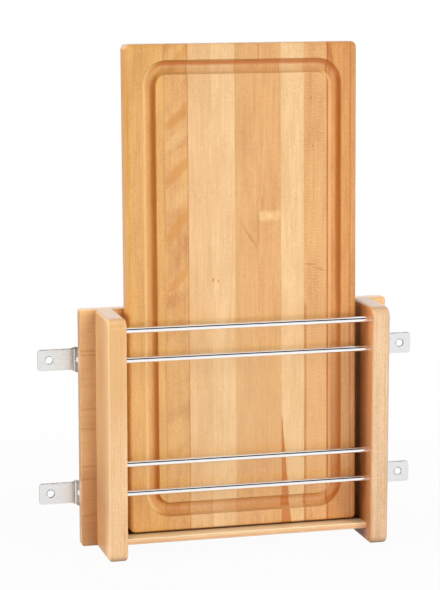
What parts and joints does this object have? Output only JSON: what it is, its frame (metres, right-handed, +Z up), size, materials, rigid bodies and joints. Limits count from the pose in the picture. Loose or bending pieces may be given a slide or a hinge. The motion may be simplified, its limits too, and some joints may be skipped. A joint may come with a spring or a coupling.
{
  "type": "door-mounted cutting board rack",
  "caption": "Wooden rack for the inside of a cupboard door, with round metal rails and steel door brackets, and a grooved cutting board that lifts out of it.",
  "frame": {"origin": "centre of the four door screw holes, in the plane where the bracket tabs meet the door", "axes": "+Z up, +Y into the door, +X to the right for someone who looks at the front of the rack"},
  "size_m": [0.401, 0.094, 0.5133],
  "materials": {
    "board_wood": "oiled satin, edge-glued maple staves",
    "upright_wood": "clear satin lacquer",
    "panel_wood": "clear satin lacquer, grain across",
    "shelf_wood": "clear satin lacquer",
    "rail_chrome": "polished plate",
    "bracket_zinc": "satin zinc plate",
    "screw_zinc": "satin zinc plate"
  },
  "bodies": {
    "rack": {"rear_panel": "panel_wood", "left_upright": "upright_wood", "right_upright": "upright_wood", "bottom_shelf": "shelf_wood", "lower_rail_low": "rail_chrome", "lower_rail_top": "rail_chrome", "upper_rail_low": "rail_chrome", "upper_rail_top": "rail_chrome", "lower_left_bracket": "bracket_zinc", "lower_right_bracket": "bracket_zinc", "upper_left_bracket": "bracket_zinc", "upper_right_bracket": "bracket_zinc", "bracket_screws": "screw_zinc", "panel_screws": "screw_zinc"},
    "cutting_board": {"board_stave_01": "board_wood", "board_stave_02": "board_wood", "board_stave_03": "board_wood", "board_stave_04": "board_wood", "board_stave_05": "board_wood", "board_stave_06": "board_wood", "board_stave_07": "board_wood", "board_stave_08": "board_wood", "board_stave_09": "board_wood", "board_stave_10": "board_wood", "board_stave_11": "board_wood"}
  },
  "joints": [
    {"name": "board_lift", "type": "slide", "parent": "rack", "child": "cutting_board", "axis": [0, 0.0244, 0.9997], "range_m": [0, 0.24]}
  ]
}
